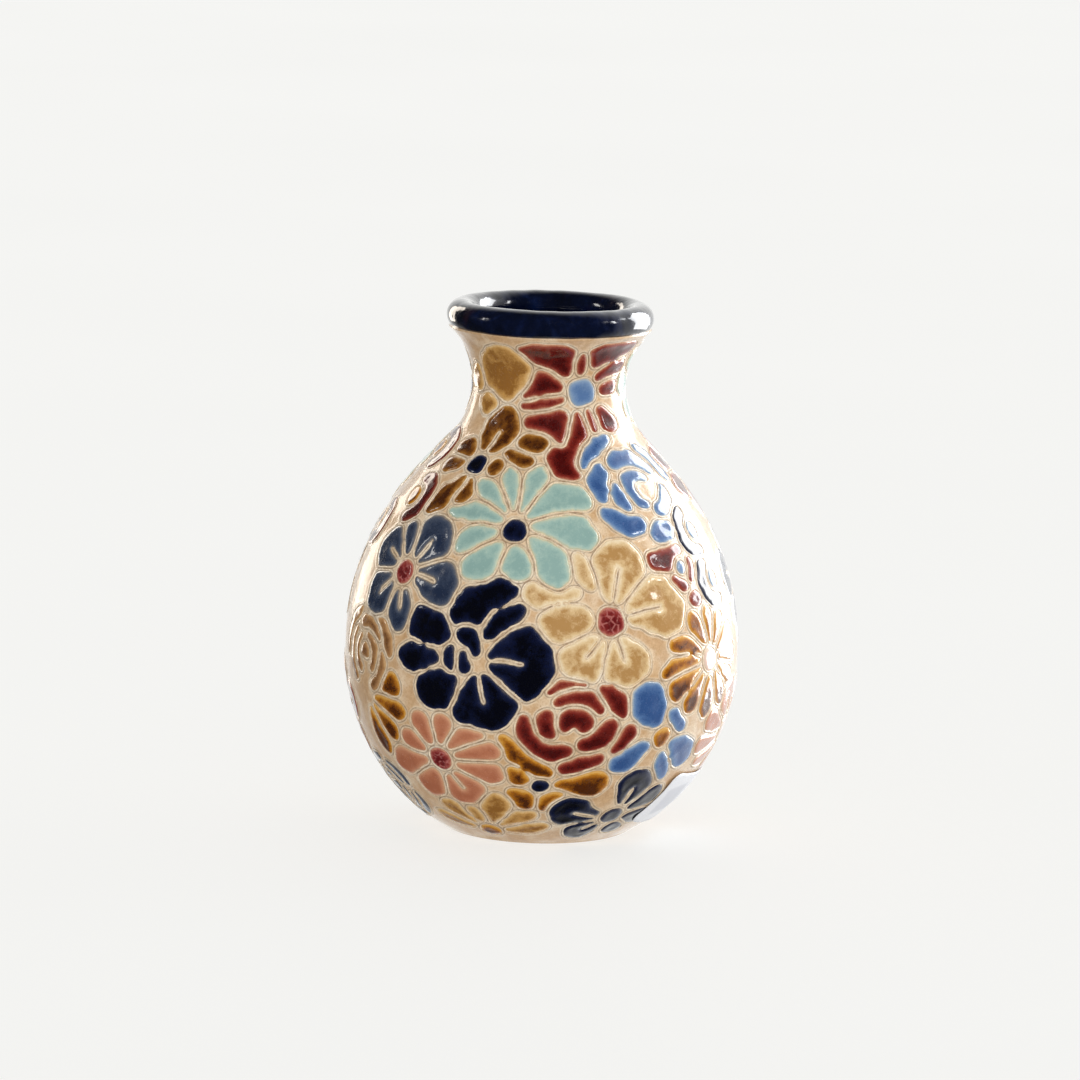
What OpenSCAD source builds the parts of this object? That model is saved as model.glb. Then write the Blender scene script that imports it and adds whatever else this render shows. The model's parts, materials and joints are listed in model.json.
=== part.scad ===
// Talavera pottery vase: a thrown clay body with carved flower outlines, pools of coloured
// glaze between the carved lines, a rolled cobalt rim, a glazed inside and a blank price label.
// The vase stands on z = 0 with its axis on Z. Azimuth 0 faces -Y and grows towards +X.

/* [Body] */
// Largest radius of the belly
belly_r = 63; // [60:0.5:66]
// Height of the widest line of the belly
belly_z = 58; // [55:0.5:61]
// Radius of the side's arc below the widest line
lower_arc = 67.5; // [65:0.5:70]
// Radius of the side's arc above the widest line
upper_arc = 86; // [82:0.5:90]
// Angle through which the upper arc runs before the straight shoulder
shoulder_angle = 42; // [38:0.5:44]
// Radius of the neck at its narrowest line
waist_r = 24.3; // [22:0.1:26]
// Radius of the hollow arc of the neck
neck_arc = 24.5; // [20:0.5:26]
// Radius at which the neck stops flaring, just under the rim
lip_r = 30.6; // [30:0.1:31]
// Thickness of the clay wall
wall = 5; // [4:0.5:6]
// Thickness of the clay floor above the foot recess
floor_thickness = 6; // [5:0.5:8]

/* [Foot] */
// Radius of the flat that the vase stands on
foot_r = 29.5; // [28:0.5:30]
// Radius of the turn from the side to that flat
foot_turn = 2; // [1.5:0.5:2.5]
// Radius of the hollow inside the foot ring
recess_r = 23.5; // [22:0.5:24]
// Depth of that hollow
recess_depth = 2; // [1:0.5:3]

/* [Rim] */
// Distance from the axis to the middle of the rolled rim
roll_x = 28.2; // [28:0.1:28.5]
// Height of the middle of the rolled rim
roll_z = 165.1; // [165:0.1:165.5]
// Radius of the roll
roll_r = 4.9; // [4.5:0.1:5]

/* [Glaze] */
// Thickness of the glaze pools, of the rim glaze and of the inside glaze
glaze = 0.4; // [0.3:0.05:0.5]
// Lowest point that a glaze pool reaches above the foot
pool_bottom = 1.6; // [1.4:0.1:2]
// Highest point that a glaze pool reaches under the rim
pool_top = 159; // [158:0.5:159.5]
// Width of the carved vein inside a petal
vein_w = 2; // [1.6:0.1:2.4]
// Share of the petal that the carved vein runs through
vein_reach = 0.62; // [0.5:0.01:0.7]

/* [Price label] */
// Width of the label along the side
label_w = 30; // [26:1:32]
// Height of the label
label_h = 22; // [18:1:24]
// Radius of the label's corners
label_corner = 3; // [2:0.5:4]
// Thickness of the paper
label_paper = 0.15; // [0.1:0.05:0.2]
// Azimuth and height of the label's middle, and its turn
label_place = [68, 13.5, -8];

/* [Hidden] */
$fn = 96;

// Middles of the side's arcs, as [distance from the axis, height]
lower_mid = [belly_r - lower_arc, belly_z];
upper_mid = [belly_r - upper_arc, belly_z];
neck_mid = [
    waist_r + neck_arc,
    belly_z + (upper_arc + neck_arc - (waist_r + neck_arc - upper_mid.x) * cos(shoulder_angle))
        / sin(shoulder_angle)
];

// The two ends of the straight shoulder
shoulder_normal = [cos(shoulder_angle), sin(shoulder_angle)];
shoulder_low = upper_mid + upper_arc * shoulder_normal;
shoulder_high = neck_mid - neck_arc * shoulder_normal;
// Height at which the normal through the shoulder's low end meets the axis
normal_z = belly_z - upper_mid.x * tan(shoulder_angle);

// Height at which the side's lower arc starts, inside the foot's turn
side_low = foot_turn / 4;
// Height at which the wall stops inside the roll
wall_top = roll_z - 2;
// Height of the floor inside the vase
floor_z = recess_depth + floor_thickness;
// Number of steps along each side of a petal's outline
petal_steps = 7;
// How square the ends of petals and crescents are: 1 is a plain sine, smaller is blunter
petal_blunt = 0.62;
crescent_blunt = 0.42;
// A vein starts this far before its petal, and bends by this share of the petal's bend
vein_lead = 3;
vein_bend = 0.3;
// Angle between the points along a crescent's edge
crescent_step = 16;
// Share of a patch's side that the cut at each corner takes
patch_cut = 0.25;
// Number of sides of an eye
eye_sides = 12;
// How far a pool's cutter reaches under and over the tangent plane
cutter_under = 13;
cutter_over = 14;

// Distance of the outer surface from the axis at height z
function side_r(z) =
    z < belly_z ? lower_mid.x + sqrt(pow(lower_arc, 2) - pow(z - belly_z, 2))
    : z < shoulder_low.y ? upper_mid.x + sqrt(pow(upper_arc, 2) - pow(z - belly_z, 2))
    : z < shoulder_high.y ? shoulder_low.x
        - (z - shoulder_low.y) * tan(shoulder_angle)
    : neck_mid.x - sqrt(pow(neck_arc, 2) - pow(z - neck_mid.y, 2));

// Angle of the outer surface's normal above the horizontal at height z
function side_tilt(z) =
    z < belly_z ? asin((z - belly_z) / lower_arc)
    : z < shoulder_low.y ? asin((z - belly_z) / upper_arc)
    : z < shoulder_high.y ? shoulder_angle
    : asin((neck_mid.y - z) / neck_arc);

// Places its children on the outer surface: local X runs right, Y up and Z outwards
module on_side(az, z, turn = 0) {
    rotate([0, 0, az])
        translate([0, -side_r(z), z])
            rotate([90 - side_tilt(z), 0, 0])
                rotate([0, 0, turn])
                    children();
}

// ---- the thrown body ----

// Half section of the outside, grown by a distance, from the foot's turn to the top of the wall
module outside(grow = 0) {
    intersection() {
        translate(lower_mid) circle(lower_arc + grow);
        translate([0, side_low]) square([2 * belly_r, belly_z - side_low]);
    }
    intersection() {
        translate(upper_mid) circle(upper_arc + grow);
        polygon([
            [0, belly_z],
            [2 * belly_r, belly_z],
            upper_mid + 2 * upper_arc * shoulder_normal,
            [0, normal_z]
        ]);
    }
    difference() {
        polygon([
            [0, belly_z],
            shoulder_low + grow * shoulder_normal,
            shoulder_high + grow * shoulder_normal,
            [lip_r + grow, neck_mid.y],
            [lip_r + grow, wall_top],
            [0, wall_top]
        ]);
        translate(neck_mid) circle(neck_arc - grow);
    }
}

// Half section of the hollow inside, shrunk by a distance
module inside(shrink = 0) {
    difference() {
        intersection() {
            outside(-wall - shrink);
            translate([0, floor_z + shrink]) square([belly_r, wall_top]);
        }
        translate([roll_x, roll_z]) circle(roll_r);
    }
}

// Half section of the wall without the roll
module wall_section() {
    difference() {
        union() {
            outside();
            translate([foot_r, foot_turn]) circle(foot_turn);
            square([foot_r, foot_turn]);
        }
        translate([0, -1]) square([recess_r, recess_depth + 1]);
        difference() {
            outside(-wall);
            square([belly_r, floor_z]);
        }
    }
}

module clay_body() {
    color("tan")
        rotate_extrude() {
            wall_section();
            translate([roll_x, roll_z]) circle(roll_r - glaze);
        }
}

module rim_glaze() {
    color("midnightblue")
        rotate_extrude()
            difference() {
                translate([roll_x, roll_z]) circle(roll_r);
                translate([roll_x, roll_z]) circle(roll_r - glaze);
                wall_section();
            }
}

module interior_glaze() {
    color("midnightblue")
        rotate_extrude()
            difference() {
                inside();
                inside(glaze);
            }
}

// ---- glaze pools ----

// Thin shell on the outer surface that every pool is cut from
module skin(low, high) {
    rotate_extrude()
        intersection() {
            difference() {
                outside(high);
                outside(low);
            }
            translate([0, pool_bottom]) square([2 * belly_r, pool_top - pool_bottom]);
        }
}

// Point at a radius and an angle around a flower's middle
function polar(r, angle) = r * [cos(angle), sin(angle)];

// A petal is [angle of the tip, start, tip, width, bend, fullness, vein]. The bend is how far
// round the start lies from the tip. A fullness above 1 moves the widest place to the tip.
function petal_edge(p, s, side) =
    let (angle = p[0] + p[4] * (1 - s))
    let (half = p[3] / 2 * pow(sin(180 * pow(s, p[5])), petal_blunt))
    polar(p[1] + (p[2] - p[1]) * s, angle) + side * polar(half, angle + 90);

function petal_outline(p) = concat(
    [for (i = [0 : petal_steps]) petal_edge(p, (1 - cos(180 * i / petal_steps)) / 2, -1)],
    [for (i = [petal_steps - 1 : -1 : 1]) petal_edge(p, (1 - cos(180 * i / petal_steps)) / 2, 1)]
);

// The carved vein of a petal is itself a slim petal that starts before the petal does
function vein_of(p) = [
    p[0] + p[4] * vein_bend,
    p[1] - vein_lead,
    p[1] + (p[2] - p[1]) * vein_reach,
    vein_w,
    p[4],
    1
];

// A crescent is [radius at its start, radius at its end, start angle, end angle, width]
function crescent_edge(c, s, side) =
    polar(
        c[0] + (c[1] - c[0]) * s + side * c[4] / 2 * pow(sin(180 * s), crescent_blunt),
        c[2] + (c[3] - c[2]) * s
    );

function crescent_outline(c) =
    let (n = max(5, round(abs(c[3] - c[2]) / crescent_step)))
    concat(
        [for (i = [0 : n]) crescent_edge(c, (1 - cos(180 * i / n)) / 2, -1)],
        [for (i = [n - 1 : -1 : 1]) crescent_edge(c, (1 - cos(180 * i / n)) / 2, 1)]
    );

// A patch is a list of corners, and its outline cuts each corner off
function patch_outline(c) = [
    for (i = [0 : len(c) - 1], t = [patch_cut, 1 - patch_cut])
        c[i] * (1 - t) + c[(i + 1) % len(c)] * t
];

// The pools of one motif as flat outlines
module pool_outlines(motif) {
    for (p = motif[0])
        difference() {
            polygon(petal_outline(p));
            if (p[6] == 1)
                polygon(petal_outline(vein_of(p)));
        }
    for (c = motif[1])
        polygon(crescent_outline(c));
    for (c = motif[2])
        polygon(patch_outline(c));
}

// A flower is [name, colour, list of [azimuth, height, turn, motif]]
module flower(f) {
    color(f[1])
        intersection() {
            skin(0, glaze);
            for (place = f[2])
                on_side(place[0], place[1], place[2])
                    translate([0, 0, -cutter_under])
                        linear_extrude(cutter_under + cutter_over)
                            pool_outlines(place[3]);
        }
}

// A set of eyes is [name, colour, list of [azimuth, height, radius]]
module eyes(e) {
    color(e[1])
        intersection() {
            skin(0, glaze);
            for (eye = e[2])
                on_side(eye[0], eye[1])
                    translate([0, 0, -cutter_under])
                        linear_extrude(cutter_under + cutter_over)
                            circle(eye[2], $fn = eye_sides);
        }
}

// ---- motifs: each is [petals, crescents, patches] ----

// A flower of n equal petals
function even_flower(n, tip, width, bend = 0, fullness = 1.6, vein = 0, start = 4.6) = [
    [for (i = [0 : n - 1]) [90 + 360 * i / n, start, tip, width, bend, fullness, vein]],
    [],
    []
];

// A rose of crescents that turn round one middle
function round_rose(size) = [
    [],
    [
        [size * 0.16, size * 0.16, 205, -25, size * 0.25],
        for (ring = [1 : 3], i = [0 : ring + 1])
            [
                size * (0.16 + 0.25 * ring),
                size * (0.13 + 0.25 * ring),
                ring * 50 + 360 / (ring + 2) * i + 10,
                ring * 50 + 360 / (ring + 2) * (i + 1) - 26 / ring,
                size * 0.19
            ]
    ],
    []
];

daisy = [
    [
        [0, 4.8, 25, 11, 22, 1.9],
        [37, 5.5, 26.4, 10.4, 20, 1.7],
        [77, 6, 24, 5.6, 6, 1.4],
        [103, 6.5, 23, 5.4, -2, 1.2],
        [128, 7, 22.5, 5, -8, 1.2],
        [160, 5.5, 24, 5, -16, 1.1],
        [196, 6, 19.4, 6.2, -14, 1.4],
        [224, 5.5, 20, 8.6, 8, 1.5],
        [280, 4.8, 16.4, 8.6, -4, 1.4],
        [314, 5, 23, 10.2, 22, 1.9]
    ],
    [],
    []
];

blossom = [
    [
        [79, 4.4, 20.4, 11.8, 3, 1.6, 1],
        [142, 4.5, 13.5, 5.6, 0, 1.6],
        [181, 4.5, 13.5, 5, -4, 1.6],
        [238, 4.5, 21, 6.2, 16, 1.5],
        [272, 5, 15, 5.6, 4, 2.2],
        [2, 4.4, 9, 5, 0, 1.6]
    ],
    [],
    [
        [[7, 7], [17.5, 7.2], [15.5, 2.5], [11, 4.6]]
    ]
];

vein_blossom = [
    [
        [62, 4.6, 20.4, 14.2, -12, 1.7, 1],
        [353, 4.6, 21.2, 13.6, 8, 1.7, 1],
        [281, 5, 18, 9.6, 0, 1.5, 1],
        [222, 4.6, 19.4, 13.4, -8, 1.6, 1],
        [152, 4.6, 19, 13, -6, 1.6, 1],
        [108, 6, 16.5, 5, 0, 1.6]
    ],
    [],
    []
];

hibiscus = [
    [
        [357, 3.8, 23.4, 21.4, 8, 1.5, 1],
        [281, 4, 21.6, 20.6, 0, 1.7, 1],
        [215, 9.2, 23.4, 13, 0, 1.3],
        [182, 13, 27.2, 9.2, 0, 1.2],
        [153, 11.8, 27.4, 11, 0, 1.2],
        [53, 7.5, 22.5, 6.2, 21, 1.7],
        [118, 1.8, 12.5, 4.4, -10, 1.2]
    ],
    [
        [9.6, 9.6, 155, 208, 3.4],
        [4.8, 4.8, 140, 220, 2.8]
    ],
    [
        [
            [-9.6, 12], [-8, 20.5], [1, 22.2], [7, 26.4],
            [12.4, 23], [9, 18], [2.5, 15.5], [-1.5, 10.5]
        ]
    ]
];

broad_blossom = [
    [
        [75, 5, 25.5, 16.5, 4, 1.8, 1],
        [12, 5.2, 27.2, 18.6, 6, 1.6, 1],
        [290, 4.6, 20.4, 16.2, 0, 1.6, 1],
        [230, 5, 20.8, 13.6, 6, 1.6, 1],
        [179, 6, 21.6, 11.5, -6, 1.3]
    ],
    [],
    [
        [[-10, 22], [-7.5, 22.5], [-3.6, 10], [-9, 12]]
    ]
];

many_petals = [
    [
        [32, 6, 20, 5, 17, 1.4],
        [11, 6, 22, 6, 6, 1.4],
        [345, 6, 21.5, 7, 4, 1.6],
        [298, 5, 18, 12.6, 0, 1.6, 1],
        [238, 5, 17.5, 9.4, 0, 1.5],
        [198, 5, 20.5, 8.4, -8, 1.4],
        [155, 6, 15, 6.2, 0, 1.3],
        [113, 6, 16.5, 5.6, 0, 1.3],
        [78, 6, 16, 5.6, 0, 1.6]
    ],
    [],
    []
];

slim_daisy = [
    [
        [159, 5.2, 20.5, 4, -8, 1.2],
        [186, 5.2, 22, 4.4, -14, 1.2],
        [205, 5.2, 21.5, 6.8, 0, 1.9],
        [234, 5.2, 19.5, 5.8, -6, 1.6],
        [268, 5.2, 18.5, 5.4, 0, 1.5],
        [305, 5.2, 19, 5, 6, 1.5],
        [121, 5.2, 17.5, 4.4, -12, 1.4],
        [88, 5.2, 17, 4.6, 0, 1.5],
        [60, 5.2, 17, 4.8, 0, 1.5],
        [30, 5.2, 18, 5, 0, 1.5],
        [2, 5.2, 19, 5.2, 0, 1.5],
        [333, 5.2, 18.5, 5, 0, 1.5]
    ],
    [],
    []
];

five_blades = [
    [
        [124, 5, 20.5, 12.2, -8, 1.3],
        [214, 5, 18.6, 7.2, -8, 1.5],
        [292, 6.3, 17, 5.4, 0, 1.2],
        [325, 5, 19, 9.8, 4, 1.4]
    ],
    [
        [8.3, 8.3, 84, 10, 3.2]
    ],
    []
];

quarter_blossom = [
    [
        [172, 4.8, 21.4, 12.2, 6, 1.6, 1],
        [228, 4.8, 16, 10, -8, 1.5, 1],
        [77, 5, 20, 11.8, 0, 1.6, 1],
        [32, 6, 18, 6.4, 0, 1.6],
        [298, 5, 11.5, 5.6, 0, 1.6],
        [345, 5, 15, 6.4, 0, 1.6]
    ],
    [],
    []
];

fan = [
    [
        [68, 4.8, 20.5, 8.8, 0, 1.5],
        [31, 5, 19.5, 6.4, 6, 1.4],
        [4, 5, 18.5, 5.6, 4, 1.3],
        [106, 4.8, 13, 5.2, 0, 1.3],
        [136, 5, 18, 6.2, 0, 1.4],
        [168, 5, 18, 5.6, 0, 1.4]
    ],
    [],
    []
];

foot_flower = [
    [
        [357, 4.5, 20.6, 9.4, 6, 2.2],
        [152, 4, 12, 5.4, 0, 1.2]
    ],
    [],
    [
        [[-10.5, -3.5], [-5, -2.8], [-2.3, -5.5], [-2.6, -11.5], [-5.8, -11.5], [-8, -6]],
        [[8, -3.6], [3, -2.8], [-0.2, -6.5], [0.6, -12.4], [2, -8.6], [4.2, -5.6]]
    ]
];

tight_rose = [
    [],
    [
        [3.1, 3.1, 205, -25, 5.2],
        [12.3, 7.4, 8, -74, 4.8],
        [9.6, 9.2, 152, 216, 4.8],
        [9.8, 9.6, 133, 28, 4],
        [16.8, 8.9, 171, 265, 5],
        [15.8, 14.6, 8, 58, 5.4],
        [14, 13.6, 132, 76, 2.2],
        [18.6, 17.2, -4, -38, 3.6],
        [14.9, 14.2, 256, 310, 4.4]
    ],
    []
];

spiral_rose = [
    [],
    [
        [5.4, 5.6, 262, 40, 3.2],
        [10.3, 10, 218, 156, 5.3],
        [12.4, 12.2, 126, 32, 4.7],
        [10.6, 8.4, 8, -78, 3.9],
        [15.7, 15.3, 186, 131, 5.9],
        [18, 13.6, 191, 247, 6.2],
        [20.9, 20.9, 146, 94, 4.1],
        [17.7, 17.7, 68, 12, 4.1],
        [15.4, 14.8, 254, 298, 5.4]
    ],
    []
];

neck_star_rays = [
    [
        [101, 5.7, 13, 3.6, 0, 1.2],
        [27, 6, 18, 4.4, 14, 1.3],
        [6, 6.6, 14, 3.6, 0, 1.2],
        [287, 5.7, 13.6, 3.8, 0, 1.4],
        [194, 6.5, 18.5, 3, 4, 1.2]
    ],
    [],
    [
        [[-23, 15], [-3.8, 15], [-4.4, 4.6], [-15, 8.8]],
        [[0, 15], [21, 15.4], [15, 10.8], [2.4, 7.2]],
        [[4.8, -3.8], [15, -11], [5.6, -13]],
        [
            [-1.4, -5.2], [2.4, -13.4], [-4.2, -16.8], [-7.8, -25.6],
            [-13.8, -23.4], [-13, -16.8], [-8.2, -17.4], [-4.9, -12]
        ],
        [[-4.3, -5.1], [-17.4, -8.1], [-17.4, -12.2], [-10, -12.4], [-8, -16.2]],
        [[-5.9, 0.7], [-13.8, 8.6], [-15, 1.6], [-18.6, -3.9], [-12, -0.9]]
    ]
];

small_flower = [
    [],
    [
        [5, 5, 30, -62, 2.4],
        [6, 6, 208, 282, 3]
    ],
    [
        [
            [-12.5, 6.2], [-7, 4.8], [0, 7.6], [3, 5.4],
            [-3, 3.6], [-4.4, 0.2], [-7.5, 0.6], [-12.5, 1.6]
        ],
        [[0.5, -8.8], [6.5, -8.8], [6.8, -12], [2, -11.5]]
    ]
];

curled_rose = [
    [],
    [
        [2, 2, 200, -20, 3],
        [5.8, 5.8, 250, 112, 2.8],
        [6.4, 6.4, 85, -50, 3],
        [10, 10, 240, 130, 3.4],
        [10.6, 10.6, 112, 30, 3.4],
        [10.6, 10.6, 14, -70, 3.4],
        [13.8, 13.8, 68, 5, 3],
        [14.4, 14.4, 190, 110, 3]
    ],
    []
];

crown = [
    [
        [96, 3, 18.5, 19, 0, 1.4],
        [172, 4, 10.5, 5.6, 0, 1.2],
        [146, 13, 20, 7, 0, 1.2]
    ],
    [],
    []
];

leaves = [
    [
        [20, 9, 18.5, 7.4, 0, 1.6],
        [350, 4, 18.5, 6.2, 0, 1.6],
        [317, 4, 17.5, 6.4, 2, 1.6],
        [284, 4, 19, 6.6, 0, 1.6]
    ],
    [],
    []
];

ground = [
    [],
    [],
    [
        [[-7, 3.6], [-1, 3.4], [3, 1.2], [8, 1.6], [12, 3.4], [9, -1.4], [0, -2.6], [-6, -1.6]]
    ]
];
ring = [[], [[6.8, 7.6, 105, -85, 3.8]], []];
bud = [[[0, -4.5, 4.5, 6.4, 0, 1]], [], []];
long_leaf = [[], [[22.8, 18.6, 193, 250, 4]], []];

// Every flower: name, colour and its places as [azimuth, height, turn, motif]
FLOWERS = [
    ["neck_star", "firebrick", [[25.8, 144, 0, neck_star_rays]]],
    ["honey_neck_crown", "goldenrod", [[-31.5, 138, 0, crown]]],
    ["turquoise_daisy", "darkseagreen", [[-10.5, 103.5, 0, daisy]]],
    ["blue_spiral_rose", "royalblue", [[46, 114.5, 0, spiral_rose]]],
    ["amber_neck_blossom", "sienna", [[-37.5, 121, 0, blossom], [-8.5, 128.6, 0, bud]]],
    ["steel_blue_blossom", "steelblue", [[-49, 88, 0, vein_blossom]]],
    ["maroon_ring_roses", "maroon", [[-64, 109.5, 0, ring], [-80, 123, 20, ring], [-83, 100, -20, ring]]],
    ["navy_hibiscus", "midnightblue", [[-18.6, 64.2, 0, hibiscus]]],
    ["cream_blossom", "burlywood", [[20.5, 77, 0, broad_blossom], [0.4, 84.8, 0, ground]]],
    ["small_red_flower", "firebrick", [[49.8, 91.5, 0, small_flower]]],
    ["blue_ring_roses", "navy", [[64, 101, 180, ring], [66, 86, 190, ring]]],
    ["amber_slim_daisy", "peru", [[57.5, 62, 0, slim_daisy]]],
    ["brown_curled_rose", "saddlebrown", [[-62, 60, 0, curled_rose]]],
    ["amber_side_leaves", "peru", [[-61, 47, 0, leaves]]],
    ["red_tight_rose", "firebrick", [[10.4, 44.7, 0, tight_rose]]],
    ["blue_blade_flower", "royalblue", [[39.6, 39.1, 0, five_blades]]],
    ["pink_flower", "salmon", [[-32.5, 30.5, 0, many_petals]]],
    ["pink_side_flower", "salmon", [[80, 36, 180, many_petals]]],
    ["amber_foot_flower", "peru", [[0.9, 24, 0, foot_flower], [10.4, 44.7, 0, long_leaf]]],
    ["navy_foot_blossom", "midnightblue", [[32, 11.5, 0, quarter_blossom]]],
    ["honey_foot_fan", "goldenrod", [[-22.2, 5.4, 0, fan]]],

    ["turquoise_neck_flower", "darkseagreen", [[98, 145, 0, even_flower(8, 14.5, 5.4)]]],
    ["amber_neck_flower", "peru", [[170, 145, 0, even_flower(6, 14.5, 7.6, 0, 1.6, 1)]]],
    ["blue_neck_rose", "royalblue", [[-116, 145, 0, round_rose(14)]]],

    ["crimson_shoulder_flower", "firebrick", [[96, 116, 0, even_flower(7, 17, 8)]]],
    ["cream_shoulder_flower", "burlywood", [[147, 116, 0, even_flower(9, 17, 6)]]],
    ["navy_shoulder_flower", "midnightblue", [[-162, 116, 0, even_flower(5, 17, 12, 0, 1.6, 1)]]],
    ["turquoise_shoulder_flower", "darkseagreen", [[-111, 116, 0, even_flower(10, 17, 5.2, 8)]]],

    ["blue_belly_flower", "steelblue", [[95, 81, 0, even_flower(5, 20, 15, -8, 1.7, 1)]]],
    ["pink_belly_flower", "salmon", [[135, 81, 0, even_flower(10, 20, 6.6)]]],
    ["red_belly_rose", "firebrick", [[175, 81, 0, round_rose(20)]]],
    ["amber_belly_daisy", "peru", [[-145, 81, 0, even_flower(12, 20, 5.6)]]],
    ["navy_belly_flower", "midnightblue", [[-104, 81, 0, even_flower(6, 20.5, 12, 8, 1.6, 1)]]],

    ["turquoise_low_daisy", "darkseagreen", [[119, 42, 0, even_flower(9, 19.5, 7.4, 14, 1.7)]]],
    ["cream_low_flower", "burlywood", [[155, 42, 0, even_flower(6, 19.5, 12, 0, 1.6, 1)]]],
    ["blue_low_rose", "royalblue", [[-165, 42, 0, round_rose(19.5)]]],
    ["honey_low_flower", "goldenrod", [[-125, 42, 0, even_flower(8, 19.5, 8.4, 0, 1.7)]]],
    ["crimson_low_flower", "firebrick", [[-89, 38, 0, even_flower(5, 17, 11, 0, 1.6, 1)]]],

    ["amber_foot_daisy", "peru", [[117, 12, 0, even_flower(8, 13.4, 5.2)]]],
    ["navy_foot_flower", "midnightblue", [[152, 12, 0, even_flower(6, 13.4, 7)]]],
    ["pink_foot_flower", "salmon", [[-173, 12, 0, even_flower(9, 13.4, 4.8)]]],
    ["turquoise_foot_daisy", "darkseagreen", [[-138, 12, 0, even_flower(7, 13.4, 6)]]],
    ["brown_foot_flower", "saddlebrown", [[-103, 12, 0, even_flower(8, 13.4, 5.2)]]],
    ["grey_foot_rose", "steelblue", [[-68, 15, 0, round_rose(13.4)]]]
];

// Every set of flower eyes: name, colour and the places and radii of the eyes
EYES = [
    ["navy_eyes", "midnightblue", [
        [-10.5, 103.5, 3.3], [-37.5, 121, 3], [0.9, 24, 2.3], [32, 11.5, 2.9],
        [98, 145, 2.8], [147, 116, 3], [-145, 81, 3.2], [119, 42, 3.2], [155, 42, 3.2]
    ]],
    ["crimson_eyes", "darkred", [
        [-49, 88, 3], [20.5, 77, 3.9], [-32.5, 30.5, 3.3],
        [-111, 116, 3], [95, 81, 3.2], [135, 81, 3.4], [-125, 42, 3.2], [117, 12, 2.8]
    ]],
    ["sky_eyes", "lightsteelblue", [
        [25.8, 144, 3.6], [49.8, 91.5, 1.8], [64, 101, 2], [66, 86, 2],
        [96, 116, 3], [-89, 38, 3], [-173, 12, 2.8]
    ]],
    ["amber_eyes", "peru", [
        [39.6, 39.1, 2.5], [-64, 109.5, 2.6], [-80, 123, 2.4], [-83, 100, 2.4], [-22.2, 5.4, 2.9],
        [170, 145, 2.8], [-162, 116, 3], [-104, 81, 3.2], [152, 12, 2.8], [-138, 12, 2.8]
    ]],
    ["pink_eyes", "mistyrose", [
        [57.5, 62, 3.6], [80, 36, 3.3], [-103, 12, 2.8]
    ]]
];

module price_label() {
    color("white")
        intersection() {
            skin(glaze, glaze + label_paper);
            on_side(label_place.x, label_place.y, label_place.z)
                translate([0, 0, -cutter_under])
                    linear_extrude(cutter_under + cutter_over)
                        offset(label_corner)
                            square(
                                [label_w - 2 * label_corner, label_h - 2 * label_corner],
                                center = true
                            );
        }
}

clay_body();
rim_glaze();
interior_glaze();
price_label();
for (f = FLOWERS) flower(f);
for (e = EYES) eyes(e);
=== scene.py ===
"""Looks of the talavera vase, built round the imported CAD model.

Lengths are in millimetres until a mesh is made, and MM turns them into metres. The side of the
vase is worked in a chart: the azimuth round the axis in radians, 0 at -Y and growing to +X, and
the length along the profile, 0 at the widest line and growing upwards.
"""

import json
import math

import bmesh
import bpy
import numpy as np
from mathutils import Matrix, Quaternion, Vector
from mathutils.geometry import delaunay_2d_cdt

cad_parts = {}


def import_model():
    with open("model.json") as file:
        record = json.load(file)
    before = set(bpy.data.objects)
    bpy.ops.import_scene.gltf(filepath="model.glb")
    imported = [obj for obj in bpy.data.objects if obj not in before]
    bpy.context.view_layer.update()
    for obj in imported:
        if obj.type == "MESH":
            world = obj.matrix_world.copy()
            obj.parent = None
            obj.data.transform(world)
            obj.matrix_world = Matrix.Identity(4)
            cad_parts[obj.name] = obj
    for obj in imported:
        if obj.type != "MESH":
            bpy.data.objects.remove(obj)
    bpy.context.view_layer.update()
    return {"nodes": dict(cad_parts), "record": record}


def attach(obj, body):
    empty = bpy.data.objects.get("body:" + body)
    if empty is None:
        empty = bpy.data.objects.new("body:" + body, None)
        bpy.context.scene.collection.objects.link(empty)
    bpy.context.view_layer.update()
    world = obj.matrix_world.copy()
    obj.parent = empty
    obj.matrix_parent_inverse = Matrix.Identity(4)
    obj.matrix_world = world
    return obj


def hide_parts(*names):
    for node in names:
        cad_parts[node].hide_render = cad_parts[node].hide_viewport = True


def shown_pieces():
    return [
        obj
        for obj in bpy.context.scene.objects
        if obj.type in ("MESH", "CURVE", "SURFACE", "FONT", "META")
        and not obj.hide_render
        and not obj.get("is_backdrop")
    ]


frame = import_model()

MM = 0.001

# ---- sizes that the CAD model has too, in mm ----

BELLY_R = 63.0
BELLY_Z = 58.0
LOWER_ARC = 67.5
UPPER_ARC = 86.0
SHOULDER = math.radians(42.0)
WAIST_R = 24.3
NECK_ARC = 24.5
LIP_R = 30.6
WALL = 5.0
FLOOR_Z = 8.0
FOOT_R = 29.5
FOOT_TURN = 2.0
RECESS_R = 23.5
RECESS_DEPTH = 2.0
ROLL_X = 28.2
ROLL_Z = 165.1
ROLL_R = 4.9
GLAZE = 0.4

# ---- sizes that only the looks have, in mm ----

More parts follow.
